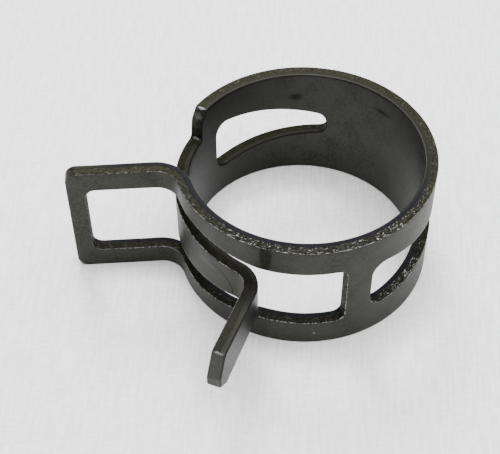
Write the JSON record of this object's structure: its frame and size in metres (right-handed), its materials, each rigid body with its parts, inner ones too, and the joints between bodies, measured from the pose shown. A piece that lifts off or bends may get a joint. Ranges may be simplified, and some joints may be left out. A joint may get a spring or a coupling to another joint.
{
  "type": "spring band hose clamp",
  "caption": "Constant-tension spring band hose clamp: a rolled steel ring with a tongue and tab ear passing between two rails that end in a frame ear; squeezing the ears opens it.",
  "frame": {"origin": "centre of the hose bore, at the middle of the band's width", "axes": "+Z along the bore; +Y towards the solid back of the ring; the ears point towards -Y, the frame ear on the -X side and the tab ear on the +X side"},
  "size_m": [0.0238, 0.0304, 0.012],
  "materials": {
    "spring_steel": "hardened spring steel with a thin dark phosphate and oil finish, sheared edges left rough"
  },
  "bodies": {
    "back": {"back_band": "spring_steel"},
    "left_window_rear": {"left_rear_upper_strip": "spring_steel", "left_rear_lower_strip": "spring_steel"},
    "left_window_front": {"left_front_upper_strip": "spring_steel", "left_front_lower_strip": "spring_steel"},
    "shoulder": {"shoulder_web": "spring_steel", "tongue_rear": "spring_steel"},
    "tongue": {"tongue_middle": "spring_steel"},
    "tab_end": {"tongue_front": "spring_steel", "tab_bend": "spring_steel", "tab_ear": "spring_steel"},
    "right_window_rear": {"right_rear_upper_strip": "spring_steel", "right_rear_lower_strip": "spring_steel"},
    "right_window_front": {"right_front_upper_strip": "spring_steel", "right_front_lower_strip": "spring_steel"},
    "slot_root": {"slot_web": "spring_steel", "upper_rail_rear": "spring_steel", "lower_rail_rear": "spring_steel"},
    "rails": {"upper_rail_middle": "spring_steel", "lower_rail_middle": "spring_steel"},
    "frame_end": {"upper_rail_front": "spring_steel", "lower_rail_front": "spring_steel", "upper_ear_arm": "spring_steel", "lower_ear_arm": "spring_steel", "ear_crossbar": "spring_steel"}
  },
  "joints": [
    {"name": "right_window_root_flex", "type": "hinge", "parent": "back", "child": "right_window_rear", "pos_m": [0.00679, 0.00941, 0], "axis": [0, 0, 1], "range_deg": [0, 4.5], "stiffness_Nm_per_rad": 25},
    {"name": "right_window_middle_flex", "type": "hinge", "parent": "right_window_rear", "child": "right_window_front", "pos_m": [0.01081, 0.00419, 0], "axis": [0, 0, 1], "range_deg": [0, 4.5], "stiffness_Nm_per_rad": 25},
    {"name": "right_web_flex", "type": "hinge", "parent": "right_window_front", "child": "slot_root", "pos_m": [0.01135, -0.00241, 0], "axis": [0, 0, 1], "range_deg": [0, 4.5], "stiffness_Nm_per_rad": 25},
    {"name": "right_slot_flex", "type": "hinge", "parent": "slot_root", "child": "rails", "pos_m": [0.00827, -0.00813, 0], "axis": [0, 0, 1], "range_deg": [0, 4.5], "stiffness_Nm_per_rad": 25},
    {"name": "right_ear_flex", "type": "hinge", "parent": "rails", "child": "frame_end", "pos_m": [0.00261, -0.0113, 0], "axis": [0, 0, 1], "range_deg": [0, 4.5], "stiffness_Nm_per_rad": 25},
    {"name": "left_window_root_flex", "type": "hinge", "parent": "back", "child": "left_window_rear", "pos_m": [-0.00679, 0.00941, 0], "axis": [0, 0, 1], "range_deg": [-4.5, 0], "stiffness_Nm_per_rad": 25},
    {"name": "left_window_middle_flex", "type": "hinge", "parent": "left_window_rear", "child": "left_window_front", "pos_m": [-0.01081, 0.00419, 0], "axis": [0, 0, 1], "range_deg": [-4.5, 0], "stiffness_Nm_per_rad": 25},
    {"name": "left_web_flex", "type": "hinge", "parent": "left_window_front", "child": "shoulder", "pos_m": [-0.01135, -0.00241, 0], "axis": [0, 0, 1], "range_deg": [-4.5, 0], "stiffness_Nm_per_rad": 25},
    {"name": "left_slot_flex", "type": "hinge", "parent": "shoulder", "child": "tongue", "pos_m": [-0.00827, -0.00813, 0], "axis": [0, 0, 1], "range_deg": [-4.5, 0], "stiffness_Nm_per_rad": 25},
    {"name": "left_ear_flex", "type": "hinge", "parent": "tongue", "child": "tab_end", "pos_m": [-0.00261, -0.0113, 0], "axis": [0, 0, 1], "range_deg": [-4.5, 0], "stiffness_Nm_per_rad": 25}
  ],
  "couplings": [
    {"joint": "right_window_middle_flex", "follows": "right_window_root_flex", "ratio": 1},
    {"joint": "right_web_flex", "follows": "right_window_root_flex", "ratio": 1},
    {"joint": "right_slot_flex", "follows": "right_window_root_flex", "ratio": 1},
    {"joint": "right_ear_flex", "follows": "right_window_root_flex", "ratio": 1},
    {"joint": "left_window_root_flex", "follows": "right_window_root_flex", "ratio": -1},
    {"joint": "left_window_middle_flex", "follows": "right_window_root_flex", "ratio": -1},
    {"joint": "left_web_flex", "follows": "right_window_root_flex", "ratio": -1},
    {"joint": "left_slot_flex", "follows": "right_window_root_flex", "ratio": -1},
    {"joint": "left_ear_flex", "follows": "right_window_root_flex", "ratio": -1}
  ]
}
